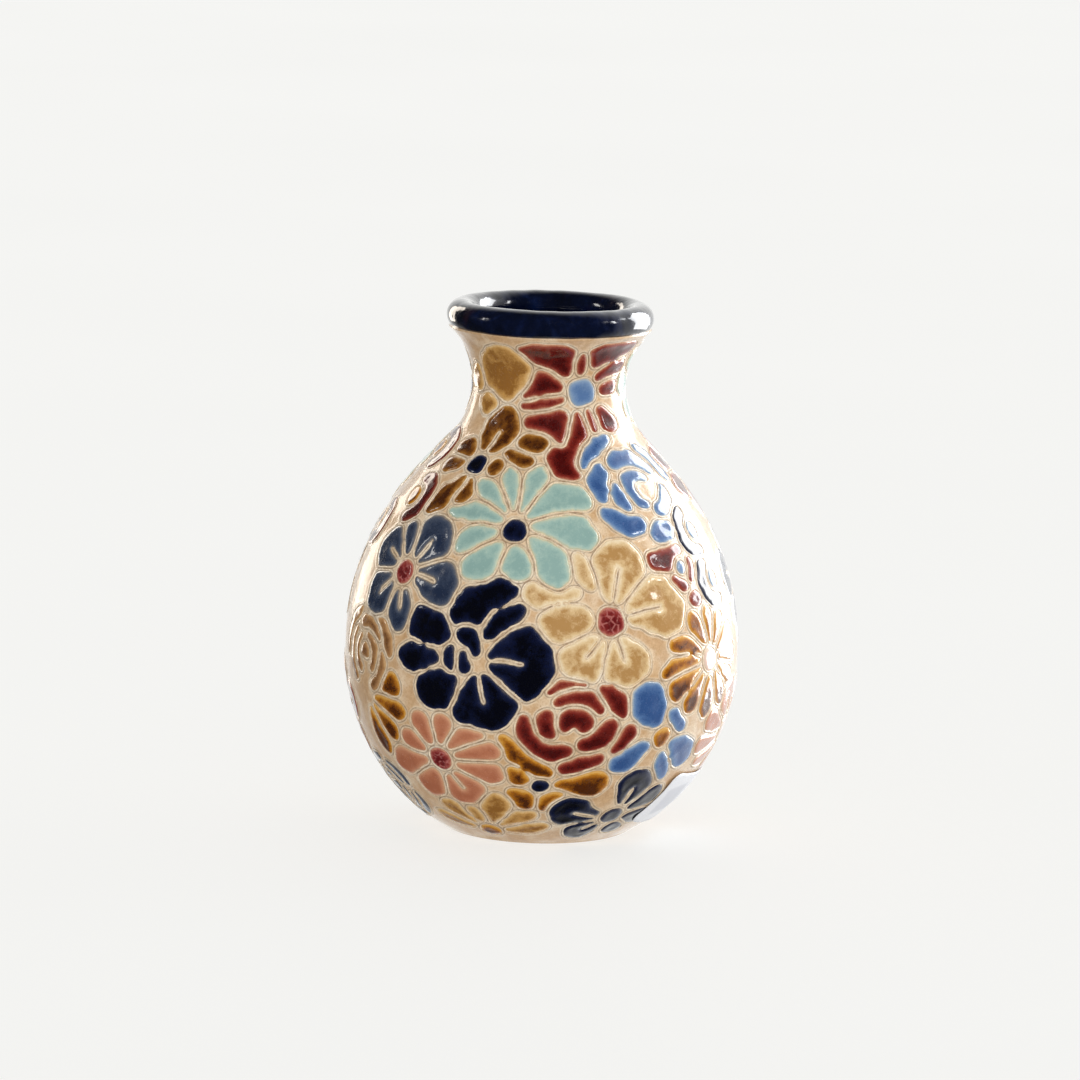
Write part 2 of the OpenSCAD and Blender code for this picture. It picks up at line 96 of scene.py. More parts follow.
GRID = 0.3  # between the points of the carved surface
OUTLINE_STEP = 0.5  # between the points along a pool's edge
POOL_STEP = 0.85  # between the points inside a pool
UNDER_STEP = 2.2  # between the points of a pool's hidden underside
EDGE_RINGS = (0.28, 0.75)  # distances of the two rings of points inside a pool's edge
RING_KEEP = 0.93  # a ring's points keep at least this share of their distance to the edge
RING_CLEAR = 0.4  # from the inner ring to the points inside it
FIELD_REACH = 3.0  # how far from a pool the carved surface still knows it
BAND = 1.45  # width of the clay band that a cut runs along, between two pools
CUT_GAP = 0.65  # from a pool's edge to the cut round a flower in open ground
CUT_WIDTH = 0.2
CUT_DEPTH = 0.35
BANK_AT = 0.35  # from a pool's edge to the crest of the clay bank beside it
BANK_HEIGHT = 0.36
BLEED_REACH = 0.22  # how far a pool's pigment stains the clay
OPEN_CLAY = (0.8, 1.5)  # distances from a pool where open ground starts and is reached
POOL_FLOOR = -0.25  # height of the clay under the glaze, and of a pool's underside
ROUNDINGS = 5  # times that the corners of a pool's outline are rounded
ROUNDED = 0.33  # what the rounding of a pool's outline takes away, given back
WOBBLE_EYE = 0.10  # how far a hand-drawn edge strays from the true line
WOBBLE_PETAL = 0.17
WOBBLE_RUFFLED = 0.42
WOBBLE_LONG = 5.0  # wavelength of the broad straying
WOBBLE_SHORT = 1.8  # and of the fine
FIRST_SEED = 100  # of the first pool's wobble in each node
SEED_STEP = 7
RUFFLED_NODES = ("navy_hibiscus", "navy_belly_flower", "navy_shoulder_flower")
GROW_MOST = 1.4  # how far a pool's edge runs out to fill the flower's cut outline
DRAW_BACK = 1.0  # how far it draws back from a pool that lies too close
GROW_OPEN = 0.6  # how far it runs out where nothing lies opposite
OPEN_GAP = 6.0  # nothing farther away lies opposite
FACING = 0.5  # cosine of the widest angle at which one edge still faces another
NUDGE = 0.1  # step along the chart that gives an edge's direction in space
ROOM_ROUNDINGS = 4  # times that the room along an edge is evened out
CROWN = 0.46  # height of a pool's glaze
SWELL_REACH = 0.42  # how far in from its edge a pool rises by most of its height
FADE_REACH = 0.95  # how far in from its edge the colour reaches most of its depth
DISH = 0.14  # how much lower the middle of a wide pool lies
DISH_REACH = (0.8, 3.2)  # distances from the edge where that starts and is complete
EDGE_SINK = -0.02  # height of the glaze at its very edge
LEAST_CROWN = 0.45  # share of the crown that even a sliver of glaze has
LEAST_REACH = 0.3  # half the width that a sliver is taken to have
FULL_REACH = 2.2  # half the width that adds a whole crown
POOL_WAVES = ((0.05, 6.0, 21),)

SIDE_BOTTOM_Z = 0.35  # height where the carved side starts
SIDE_TOP_Z = 161.5  # and where it ends, under the roll
LIP_Z = 163.5  # height of the clay lip inside the roll
SIDE_WAVES = ((0.10, 26.0, 11), (0.04, 9.0, 12))  # height, wavelength and seed of each
RIM_WAVES = ((0.10, 22.0, 31), (0.04, 8.0, 32))
RIM_INSET = 0.05  # how much slimmer than the CAD rim the drawn roll is on average
RIM_COLUMNS = 420  # points round the axis
RIM_ROUND = 64  # points round the roll
THROWING_RINGS = ((0.15, 3.1, 0), (0.08, 1.3, 1))  # depth, pitch and phase of each
ROW_RISE = 0.866  # between the rows of a triangular lattice, in steps

SUNK = 0.15  # how far the hidden side of the lining lies in the wall
PAPER = 0.15  # thickness of the label
PANEL_ACROSS = (0.18, 0.22, 0.56, 0.60)  # edges of its grey panel, as shares of its size
PANEL_UP = (0.25, 0.3, 0.72, 0.78)

WELD = 0.01  # CAD points closer than this are one point
STEEP = 0.93  # a wall's normal and the side's agree less than this
LEAST_CORNERS = 8  # a loop with fewer is not a pool's outline
LEAST_AREA = 1.5  # a smaller loop is a sliver, in square mm

BASE_NODES = ("clay_body", "rim_glaze", "interior_glaze", "price_label")
SLOT_OF = {part["node"]: part["material_slot"] for part in frame["record"]["subparts"]}

lower_x = BELLY_R - LOWER_ARC
upper_x = BELLY_R - UPPER_ARC
neck_x = WAIST_R + NECK_ARC
arcs = UPPER_ARC + NECK_ARC
neck_z = BELLY_Z + (arcs - (neck_x - upper_x) * math.cos(SHOULDER)) / math.sin(SHOULDER)
shoulder_normal = np.array([math.cos(SHOULDER), math.sin(SHOULDER)])
shoulder_low = np.array([upper_x, BELLY_Z]) + UPPER_ARC * shoulder_normal
shoulder_high = np.array([neck_x, neck_z]) - NECK_ARC * shoulder_normal
shoulder_way = np.array([-math.sin(SHOULDER), math.cos(SHOULDER)])
LENGTH_LOW = UPPER_ARC * SHOULDER
LENGTH_HIGH = LENGTH_LOW + float(np.linalg.norm(shoulder_high - shoulder_low))


# ---- the chart ----

def profile(length):
    """Radius, height and outward normal of the side at each length along the profile."""
    length = np.asarray(length, float)
    low = length / LOWER_ARC
    up = length / UPPER_ARC
    neck = math.pi + SHOULDER - (length - LENGTH_HIGH) / NECK_ARC
    along = length - LENGTH_LOW
    cases = [length < 0, length < LENGTH_LOW, length < LENGTH_HIGH]
    r = np.select(cases, [
        lower_x + LOWER_ARC * np.cos(low),
        upper_x + UPPER_ARC * np.cos(up),
        shoulder_low[0] + along * shoulder_way[0],
    ], neck_x + NECK_ARC * np.cos(neck))
    z = np.select(cases, [
        BELLY_Z + LOWER_ARC * np.sin(low),
        BELLY_Z + UPPER_ARC * np.sin(up),
        shoulder_low[1] + along * shoulder_way[1],
    ], neck_z + NECK_ARC * np.sin(neck))
    normal_r = np.select(cases, [np.cos(low), np.cos(up), math.cos(SHOULDER)], -np.cos(neck))
    normal_z = np.select(cases, [np.sin(low), np.sin(up), math.sin(SHOULDER)], -np.sin(neck))
    return r, z, normal_r, normal_z


def chart_of(points):
    """Azimuth, length along the profile and height above the side of points in mm."""
    x, y, z = points.T
    r = np.hypot(x, y)
    azimuth = np.arctan2(x, -y)
    low = np.arctan2(z - BELLY_Z, r - lower_x)
    up = np.arctan2(z - BELLY_Z, r - upper_x)
    along = (r - shoulder_low[0]) * shoulder_way[0] + (z - shoulder_low[1]) * shoulder_way[1]
    neck = np.arctan2(z - neck_z, r - neck_x) % (2 * math.pi)
    straight = LENGTH_HIGH - LENGTH_LOW
    cases = [z < BELLY_Z, up < SHOULDER, along < straight]
    length = np.select(cases, [low * LOWER_ARC, up * UPPER_ARC, LENGTH_LOW + along],
                       LENGTH_HIGH + (math.pi + SHOULDER - neck) * NECK_ARC)
    height = np.select(cases, [
        np.hypot(r - lower_x, z - BELLY_Z) - LOWER_ARC,
        np.hypot(r - upper_x, z - BELLY_Z) - UPPER_ARC,
        (r - shoulder_low[0]) * math.cos(SHOULDER) + (z - shoulder_low[1]) * math.sin(SHOULDER),
    ], NECK_ARC - np.hypot(r - neck_x, z - neck_z))
    return azimuth, length, height


def on_side(azimuth, length, height):
    """Points in mm at a height above the side."""
    r, z, normal_r, normal_z = profile(length)
    r = r + height * normal_r
    z = z + height * normal_z
    return np.stack([r * np.sin(azimuth), -r * np.cos(azimuth), z], -1)


def outward_at(azimuth, length):
    """Outward normals of the side."""
    _, _, normal_r, normal_z = profile(length)
    return np.stack([normal_r * np.sin(azimuth), -normal_r * np.cos(azimuth), normal_z], -1)


def length_at(z):
    """Length along the profile at a height above the floor."""
    lengths = np.linspace(-LOWER_ARC * 1.1, LENGTH_HIGH + NECK_ARC * 1.6, 4000)
    return float(np.interp(z, profile(lengths)[1], lengths))


def ripple(points, wavelength, seed, count=14):
    """Smooth noise from -1 to 1 at points in mm, as a sum of waves in random directions."""
    dice = np.random.default_rng(seed)
    ways = dice.normal(size=(count, 3))
    ways /= np.linalg.norm(ways, axis=1)[:, None]
    ways *= 2 * math.pi / wavelength * dice.uniform(0.7, 1.4, (count, 1))
    phases = dice.uniform(0, 2 * math.pi, count)
    total = np.zeros(points.shape[:-1])
    for way, phase in zip(ways, phases):
        total += np.sin(points @ way + phase)
    return total / math.sqrt(count)


def sway(points, waves):
    """Ripples on top of each other, each with its height, wavelength and seed."""
    return sum(height * ripple(points, wavelength, seed) for height, wavelength, seed in waves)


def hand_wave(azimuth, length):
    """How far the thrown and carved side is from true, in mm."""
    return sway(on_side(azimuth, length, 0.0), SIDE_WAVES)


def smoothstep(low, high, value):
    """0 below low, 1 above high, and a smooth step between."""
    t = np.clip((value - low) / (high - low), 0.0, 1.0)
    return t * t * (3 - 2 * t)


def plateau(bounds, value):
    """0 outside four bounds in order, 1 between the middle two."""
    return smoothstep(*bounds[:2], value) * (1 - smoothstep(*bounds[2:], value))


# ---- meshes ----

def new_piece(name, points, faces, material, nodes, numbers=None, colours=None):
    """A smooth mesh piece from points in mm, which rides on the root and replaces CAD nodes."""
    mesh = bpy.data.meshes.new(name)
    mesh.from_pydata((np.asarray(points) * MM).tolist(), [], faces)
    for key, values in (numbers or {}).items():
        layer = mesh.attributes.new(key, "FLOAT", "POINT")
        layer.data.foreach_set("value", np.asarray(values, np.float32))
    for key, values in (colours or {}).items():
        layer = mesh.attributes.new(key, "FLOAT_COLOR", "POINT")
        layer.data.foreach_set("color", np.asarray(values, np.float32).ravel())
    mesh.shade_smooth()
    mesh.materials.append(material)
    piece = bpy.data.objects.new(name, mesh)
    bpy.context.scene.collection.objects.link(piece)
    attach(piece, "root")
    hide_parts(*nodes)
    return piece


def band(low, high, columns):
    """Quads between two rings of points, given by their first points."""
    turn = list(range(columns))
    after = turn[1:] + turn[:1]
    return [(low + a, low + b, high + b, high + a) for a, b in zip(turn, after)]


def lathe(rings, columns):
    """Faces of a closed lathe whose first and last points lie on the axis."""
    last = 1 + (rings - 1) * columns
    faces = [(0, 1 + (a + 1) % columns, 1 + a) for a in range(columns)]
    for low in range(1, last, columns):
        faces += band(low, low + columns, columns)
    faces += [(last + a, last + (a + 1) % columns, last + columns) for a in range(columns)]
    return faces


def tube(rings, columns):
    """Quads of a closed ring: a lathe of a closed outline."""
    faces = []
    for ring in range(rings):
        faces += band(ring * columns, (ring + 1) % rings * columns, columns)
    return faces


def spin(radii, heights, columns):
    """Points of a lathe's rings, ring by ring."""
    azimuth = np.arange(columns) * 2 * math.pi / columns
    radii = np.asarray(radii, float)[:, None]
    heights = np.asarray(heights, float)[:, None] + 0 * azimuth
    return np.stack([radii * np.sin(azimuth), -radii * np.cos(azimuth), heights], -1).reshape(-1, 3)


# ---- outlines of the glaze pools, from the CAD nodes ----

def outline_loops(node, height):
    """Top edges of a CAD node's steep side walls, as closed loops of [azimuth, length]."""
    sheet = bmesh.new()
    sheet.from_mesh(frame["nodes"][node].data)
    bmesh.ops.remove_doubles(sheet, verts=sheet.verts, dist=WELD * MM)
    sheet.verts.index_update()
    sheet.faces.index_update()
    azimuth, length, above = chart_of(np.array([vertex.co for vertex in sheet.verts]) / MM)
    middles = np.array([face.calc_center_median() for face in sheet.faces]) / MM
    normals = np.array([face.normal for face in sheet.faces])
    middle_azimuth, middle_length, _ = chart_of(middles)
    outward = outward_at(middle_azimuth, middle_length)
    steep = np.abs((normals * outward).sum(axis=1)) < STEEP
    outer = above > height - 0.1
    beside = {}
    for edge in sheet.edges:
        a, b = (vertex.index for vertex in edge.verts)
        walls = sum(bool(steep[face.index]) for face in edge.link_faces)
        if walls == 1 and outer[a] and outer[b]:
            beside.setdefault(a, set()).add(b)
            beside.setdefault(b, set()).add(a)
    sheet.free()
    loops = []
    while beside:
        at = min(beside)
        loop = []
        while at is not None:
            loop.append((azimuth[at], length[at]))
            ahead = [other for other in beside.pop(at) if other in beside]
            at = min(ahead) if ahead else None
        loops.append(np.array(loop))
    return [loop for loop in loops if len(loop) >= LEAST_CORNERS]


class Pool:
    """One pool of glaze: its outline in a flat chart in mm round its own middle."""

    def __init__(self, loop, wobble, seed):
        azimuth = loop[:, 0]
        first = azimuth[0]
        azimuth = first + (azimuth - first + math.pi) % (2 * math.pi) - math.pi
        self.azimuth = float(azimuth.mean())
        self.length = float(loop[:, 1].mean())
        self.radius = float(profile(self.length)[0])
        flat = np.stack([(azimuth - self.azimuth) * self.radius, loop[:, 1] - self.length], -1)
        self.outline = self.hand_drawn(flat, wobble, seed)

    def hand_drawn(self, flat, wobble, seed):
        """The outline in even steps, rounded and wobbled as a hand would carve it."""
        even = rounded(evenly(flat), ROUNDINGS)
        if area_of(even) < 0:
            even = even[::-1]
        outward = outward_of(even)
        space = self.lift(even, 0.0)
        waves = ((0.75, WOBBLE_LONG, seed), (0.25, WOBBLE_SHORT, seed + 1))
        shift = wobble * sway(space, waves)
        return even + outward * (shift + ROUNDED)[:, None]

    def spread(self, room):
        """Moves each point of the outline out by its own room, and drops what would fold over."""
        moved = self.outline + outward_of(self.outline) * room[:, None]
        kept = distance_to(self.outline, moved) > 0.85 * np.abs(room) - 0.02
        self.outline = rounded(evenly(moved[kept]), 1)

    def chart(self, flat):
        """Azimuth and length of points of the flat chart."""
        return self.azimuth + flat[:, 0] / self.radius, self.length + flat[:, 1]

    def lift(self, flat, height):
        """Points of the flat chart as points in space, at a height above the side."""
        azimuth, length = self.chart(flat)
        return on_side(azimuth, length, height)

    def true_width(self, flat):
        """How much wider than in the chart a millimetre round the axis is."""
        return profile(self.length + flat[:, 1])[0] / self.radius


def evenly(loop):
    """A closed loop's points again, in even steps."""
    ends = np.roll(loop, -1, axis=0)
    way = np.concatenate([[0], np.cumsum(np.linalg.norm(ends - loop, axis=1))])
    count = max(16, int(round(way[-1] / OUTLINE_STEP)))
    at = np.arange(count) * way[-1] / count
    closed = np.vstack([loop, loop[:1]])
    return np.stack([np.interp(at, way, closed[:, axis]) for axis in (0, 1)], -1)


def rounded(values, times):
    """Values along a closed loop, each mixed with its two neighbours."""
    for _ in range(times):
        values = 0.5 * values + 0.25 * np.roll(values, 1, axis=0) + 0.25 * np.roll(values, -1, axis=0)
    return values


def area_of(loop):
    """Area of a loop, above zero when it runs anticlockwise."""
    x, y = loop.T
    return 0.5 * float(np.sum(x * np.roll(y, -1) - np.roll(x, -1) * y))


def outward_of(loop):
    """Outward directions at the points of an anticlockwise loop."""
    along = np.roll(loop, -1, axis=0) - np.roll(loop, 1, axis=0)
    along /= np.maximum(np.linalg.norm(along, axis=1), 1e-9)[:, None]
    return np.stack([along[:, 1], -along[:, 0]], -1)


def distance_to(loop, points, width=1.0):
    """Distance of points to a closed loop; x counts width times, as the surface is wider there."""
    starts = loop
    ends = np.roll(loop, -1, axis=0)
    width = np.broadcast_to(np.asarray(width, float), len(points))[:, None]
    dx = (ends[:, 0] - starts[:, 0])[None, :] * width
    dy = (ends[:, 1] - starts[:, 1])[None, :]
    px = (points[:, :1] - starts[None, :, 0]) * width
    py = points[:, 1:] - starts[None, :, 1]
    share = np.clip((px * dx + py * dy) / np.maximum(dx * dx + dy * dy, 1e-12), 0, 1)
    return np.sqrt(((px - share * dx) ** 2 + (py - share * dy) ** 2).min(axis=1))


def inside(loop, points):
    """True for points inside a closed loop."""
    x, y = points[:, :1], points[:, 1:]
    x0, y0 = loop[None, :, 0], loop[None, :, 1]
    x1, y1 = np.roll(x0, -1, axis=1), np.roll(y0, -1, axis=1)
    crosses = (y0 > y) != (y1 > y)
    rise = np.where(y1 == y0, 1e-12, y1 - y0)
    return (crosses & (x < x0 + (y - y0) * (x1 - x0) / rise)).sum(axis=1) % 2 == 1


def lattice(loop, step):
    """Triangular lattice over a loop's box."""
    low, high = loop.min(axis=0), loop.max(axis=0)
    rows = np.arange(low[1], high[1], step * ROW_RISE)
    points = [
        (x + step / 2 * (row % 2), y)
        for row, y in enumerate(rows)
        for x in np.arange(low[0] - step / 2, high[0], step)
    ]
    return np.array(points).reshape(-1, 2)


def fill(outline, points):
    """Triangles that fill an outline and use the points inside it."""
    every = np.vstack([outline, points])
    made = delaunay_2d_cdt(
        [Vector(point) for point in every], [], [list(range(len(outline)))], 1, 1e-6
    )
    flat = np.array([tuple(point) for point in made[0]])
    return flat, [tuple(face) for face in made[2]]


def glaze_pool(pool):
    """Points, faces and depths of one pool: a domed top and a hidden underside."""
    outline = pool.outline
    outward = outward_of(outline)
    rings = [outline - outward * step for step in EDGE_RINGS]
    rings[1] = rings[1][::2]
    candidates = [(ring, step * RING_KEEP) for ring, step in zip(rings, EDGE_RINGS)]
    candidates.append((lattice(outline, POOL_STEP), EDGE_RINGS[1] + RING_CLEAR))
    kept = []
    for points, least in candidates:
        points = points[inside(outline, points)]
        if len(points):
            points = points[distance_to(outline, points, pool.true_width(points)) > least]
        kept.append(points)
    top, top_faces = fill(outline, np.vstack(kept))
    reach = distance_to(outline, top, pool.true_width(top))
    widest = max(float(reach.max()), LEAST_REACH)
    azimuth, length = pool.chart(top)
    space = on_side(azimuth, length, 0.0)
    swell = 1 - np.exp(-reach / SWELL_REACH)
    height = EDGE_SINK + CROWN * min(1.0, LEAST_CROWN + widest / FULL_REACH) * swell
    height -= DISH * smoothstep(*DISH_REACH, reach)
    height += sway(space, POOL_WAVES) * smoothstep(0.2, 1.2, reach)
    depth = 1 - np.exp(-reach / FADE_REACH)
    wave = hand_wave(azimuth, length)
    points = on_side(azimuth, length, height + wave)
    under = lattice(outline, UNDER_STEP)
    under = under[inside(outline, under)]
    if len(under):
        under = under[distance_to(outline, under) > UNDER_STEP / 3]
    bottom, bottom_faces = fill(outline, under)
    bottom_points = pool.lift(bottom, POOL_FLOOR)
    count = len(outline)
    start = len(top)
    faces = list(top_faces)
    faces += [tuple(index + start for index in face[::-1]) for face in bottom_faces]
    faces += [
        (index, index + start, (index + 1) % count + start, (index + 1) % count)
        for index in range(count)
    ]
    low, high = length.min(), length.max()
    run = 1 - (length - low) / max(high - low, 1.0)
    numbers = {
        "depth": np.concatenate([depth, np.zeros(len(bottom))]),
        "run": np.concatenate([run, np.zeros(len(bottom))]),
    }
    return np.vstack([points, bottom_points]), faces, numbers


# ---- materials ----

GLAZE_STOPS = (0.10, 0.40, 0.70, 1.0)  # levels of a glaze's four shades
MIX_SHARE = 0  # numbers of a mix node's sockets, whose names repeat
MIX_VALUE_A = 2
MIX_VALUE_B = 3
MIX_VALUE_OUT = 0
MIX_COLOUR_A = 6
MIX_COLOUR_B = 7
MIX_COLOUR_OUT = 2


def paint(red, green, blue):
    """Linear colour from display values of 0 to 255."""
    def linear(value):
        value /= 255
        return value / 12.92 if value <= 0.04045 else ((value + 0.055) / 1.055) ** 2.4
    return linear(red), linear(green), linear(blue), 1.0


class Recipe:
    """A node material and short ways to add nodes to it."""

    def __init__(self, name, roughness, coat=0.0, coat_roughness=0.05, specular=0.5):
        self.material = bpy.data.materials.new(name)
        self.material.use_nodes = True
        self.tree = self.material.node_tree
        self.shader = self.tree.nodes["Principled BSDF"]
        self.shader.inputs["Roughness"].default_value = roughness
        self.shader.inputs["Coat Weight"].default_value = coat
        self.shader.inputs["Coat Roughness"].default_value = coat_roughness
        self.shader.inputs["Specular IOR Level"].default_value = specular
        self.coords = self.add("TexCoord").outputs["Object"]

    def add(self, kind):
        """A new shader node."""
        return self.tree.nodes.new("ShaderNode" + kind)

    def link(self, value, socket):
        """Feeds a socket from another socket or a plain value."""
        if isinstance(value, bpy.types.NodeSocket):
            self.tree.links.new(value, socket)
        else:
            socket.default_value = value

    def attribute(self, name, kind="Fac"):
        """One of the numbers or colours that the mesh carries."""
        node = self.add("Attribute")
        node.attribute_name = name
        return node.outputs[kind]

    def noise(self, size, detail=3.0, distortion=0.0):
        """Noise from 0 to 1 whose patches are about size mm across."""
        node = self.add("TexNoise")
        self.link(self.coords, node.inputs["Vector"])
        node.inputs["Scale"].default_value = 1 / (size * MM)
        node.inputs["Detail"].default_value = detail
        node.inputs["Distortion"].default_value = distortion
        return node.outputs["Fac"]

    def cells(self, size, feature="F1"):
        """Distance to random cells about size mm apart."""
        node = self.add("TexVoronoi")
        node.feature = feature
        self.link(self.coords, node.inputs["Vector"])
        node.inputs["Scale"].default_value = 1 / (size * MM)
        return node.outputs["Distance"]

    def math(self, operation, a, b=0.0, c=0.0):
        """A sum, a product or the like of sockets and values."""
        node = self.add("Math")
        node.operation = operation
        for value, socket in zip((a, b, c), node.inputs):
            self.link(value, socket)
        return node.outputs["Value"]

    def range(self, value, low, high, out_low=0.0, out_high=1.0):
        """A smooth step of a value from low to high."""
        node = self.add("MapRange")
        node.interpolation_type = "SMOOTHSTEP"
        self.link(value, node.inputs["Value"])
        node.inputs["From Min"].default_value = low
        node.inputs["From Max"].default_value = high
        node.inputs["To Min"].default_value = out_low
        node.inputs["To Max"].default_value = out_high
        return node.outputs["Result"]

    def ramp(self, value, stops):
        """Colours along a value, from (place, colour) stops."""
        node = self.add("ValToRGB")
        self.link(value, node.inputs["Fac"])
        elements = node.color_ramp.elements
        while len(elements) < len(stops):
            elements.new(0.5)
        for element, (at, colour) in zip(elements, stops):
            element.position = at
            element.color = colour
        return node.outputs["Color"]

    def mix(self, share, a, b):
        """Colour b over colour a; a mix node has a factor, two colours and a colour out."""
        node = self.add("Mix")
        node.data_type = "RGBA"
        self.link(share, node.inputs[MIX_SHARE])
        self.link(a, node.inputs[MIX_COLOUR_A])
        self.link(b, node.inputs[MIX_COLOUR_B])
        return node.outputs[MIX_COLOUR_OUT]

    def bump(self, height, distance, before=None):
        """Bump of a given depth in mm."""
        node = self.add("Bump")
        node.inputs["Distance"].default_value = distance * MM
        self.link(height, node.inputs["Height"])
        if before:
            self.link(before, node.inputs["Normal"])
        return node.outputs["Normal"]

    def finish(self, colour, roughness=None, normal=None, coat_normal=None):
        """Joins the surface to the shader."""
        self.link(colour, self.shader.inputs["Base Color"])
        if roughness:
            self.link(roughness, self.shader.inputs["Roughness"])
        if normal:
            self.link(normal, self.shader.inputs["Normal"])
        if coat_normal:
            self.link(coat_normal, self.shader.inputs["Coat Normal"])
        return self.material


def clay():
    """Fired buff clay under clear glaze, with dark cut lines, stains beside the pools, and painted shade
    where the clay lies low.
    """
    m = Recipe("clay", roughness=0.42, coat=0.9, coat_roughness=0.08)
    broad = m.noise(14.0, 3.0)
    fine = m.noise(1.6, 4.0)
    colour = m.ramp(m.math("MULTIPLY_ADD", broad, 0.75, m.math("MULTIPLY", fine, 0.25)), [
        (0.30, paint(224, 198, 162)),
        (0.50, paint(242, 222, 192)),
        (0.68, paint(250, 238, 216)),
    ])
    wash = m.math("MULTIPLY", m.attribute("open"), m.range(m.noise(6.0, 3.0), 0.3, 0.6, 0.35, 1.0))
    honey = m.ramp(fine, [(0.3, paint(178, 126, 66)), (0.7, paint(208, 162, 104))])
    colour = m.mix(m.math("MULTIPLY", wash, 0.7), colour, honey)
    # painted shade: the clay is darkened toward tan where it lies below the crests of the banks, so the
    # crests look lit
    painted_hollow_shade = m.range(m.attribute("crest"), -0.2, 0.3, 1.0, 0.0)
    colour = m.mix(m.math("MULTIPLY", painted_hollow_shade, 0.2), colour, paint(186, 142, 96))
    stain = m.math("MULTIPLY", m.attribute("bleed"), m.range(m.noise(2.4, 2.0), 0.35, 0.7))
    colour = m.mix(m.math("MULTIPLY", stain, 0.7), colour, m.attribute("pigment", "Color"))
    shade = m.math("MULTIPLY", m.attribute("cut"), m.range(m.noise(3.0, 2.0), 0.3, 0.6, 0.35, 0.85))
    colour = m.mix(shade, colour, paint(122, 84, 48))
    gritty = m.range(m.noise(0.55, 2.0), 0.46, 0.66, 0.0, 0.3)
    colour = m.mix(gritty, colour, paint(176, 128, 80))
    speck = m.range(m.cells(2.6), 0.0, 0.11, 1.0, 0.0)
    speck = m.math("MULTIPLY", speck, m.range(m.noise(7.0, 1.0), 0.5, 0.62))
    colour = m.mix(speck, colour, paint(88, 58, 36))
    bare = m.attribute("bare")
    colour = m.mix(bare, colour, m.ramp(fine, [(0.3, paint(188, 152, 112)), (0.7, paint(210, 178, 138))]))
    rough = m.math("ADD", m.range(fine, 0.3, 0.7, 0.3, 0.45), m.math("MULTIPLY", bare, 0.45))
    grain = m.bump(m.noise(0.9, 3.0), 0.06)
    soft = m.bump(m.noise(1.1, 2.0), 0.05, m.bump(m.noise(3.0, 2.0), 0.08))
    return m.finish(colour, rough, grain, soft)


def glaze(name, shades, run_share=0.2, cloud=0.25, mottle=4.0, speck=None, crackle=None):
    """Pool of glaze in four shades: pale and thin at the edge, darkest where it ran together."""
    m = Recipe(name, roughness=0.22, coat=1.0, coat_roughness=0.035)
    depth = m.attribute("depth")
    patch = m.math("SUBTRACT", m.noise(mottle, 4.0, 0.6), 0.5)
    fine = m.math("SUBTRACT", m.noise(1.1, 3.0), 0.5)
    run = m.math("SUBTRACT", m.attribute("run"), 0.5)
    level = m.math("MULTIPLY_ADD", patch, cloud * 2.2, depth)
    level = m.math("MULTIPLY_ADD", fine, cloud * 0.7, level)
    level = m.math("MULTIPLY_ADD", run, run_share, level)
    grain = m.math("SUBTRACT", m.noise(0.45, 2.0), 0.5)
    level = m.math("MULTIPLY_ADD", grain, 0.35, level)
    colour = m.ramp(level, [(at, paint(*shade)) for at, shade in zip(GLAZE_STOPS, shades)])
    if speck:
        dots = m.range(m.cells(1.7), 0.0, 0.13, 1.0, 0.0)
        dots = m.math("MULTIPLY", dots, m.range(m.noise(5.0, 1.0), 0.52, 0.62))
        colour = m.mix(dots, colour, paint(*speck))
    if crackle:
        seams = m.range(m.cells(2.1, "DISTANCE_TO_EDGE"), 0.0, 0.2, 0.8, 0.0)
        seams = m.math("MULTIPLY", seams, m.range(m.noise(1.8, 2.0), 0.4, 0.62))
        colour = m.mix(seams, colour, paint(*crackle))
    wave = m.bump(m.noise(5.0, 2.0), 0.12)
    pits = m.range(m.cells(3.2), 0.0, 0.09, 0.0, 1.0)
    wave = m.bump(pits, 0.03, wave)
    wave = m.bump(m.noise(1.6, 2.0), 0.035, wave)
    return m.finish(colour, m.range(fine, -0.2, 0.2, 0.14, 0.28), wave, wave)


def cobalt(name):
    """Deep cobalt glaze of the rim and the inside: nearly black, blue where it is thin."""
    m = Recipe(name, roughness=0.16, coat=1.0, coat_roughness=0.03)
    patch = m.noise(9.0, 4.0, 0.8)
    fine = m.noise(1.5, 3.0)
    level = m.math("MULTIPLY_ADD", fine, 0.25, m.math("MULTIPLY", patch, 0.75))
    colour = m.ramp(level, [
        (0.30, paint(2, 4, 14)),
        (0.52, paint(5, 12, 36)),
        (0.70, paint(9, 24, 62)),
        (0.86, paint(22, 44, 92)),
    ])
    brown = m.math("MULTIPLY", m.range(m.noise(12.0, 2.0), 0.58, 0.72), 0.5)
    colour = m.mix(brown, colour, paint(44, 20, 24))
    wave = m.bump(m.noise(7.0, 2.0), 0.25)
    return m.finish(colour, m.range(fine, 0.3, 0.7, 0.1, 0.22), wave, wave)


def paper():
    """Matt white label paper with a faint fibre and a pale printed panel with no marks."""
    m = Recipe("label_paper", roughness=0.6, specular=0.4)
    fibre = m.noise(0.5, 4.0)
    colour = m.ramp(fibre, [(0.3, paint(226, 228, 234)), (0.7, paint(240, 241, 245))])
    panel = m.attribute("panel")
    colour = m.mix(m.math("MULTIPLY", panel, 0.8), colour, paint(208, 210, 218))
    return m.finish(colour, m.range(fibre, 0.3, 0.7, 0.5, 0.65), m.bump(fibre, 0.02))


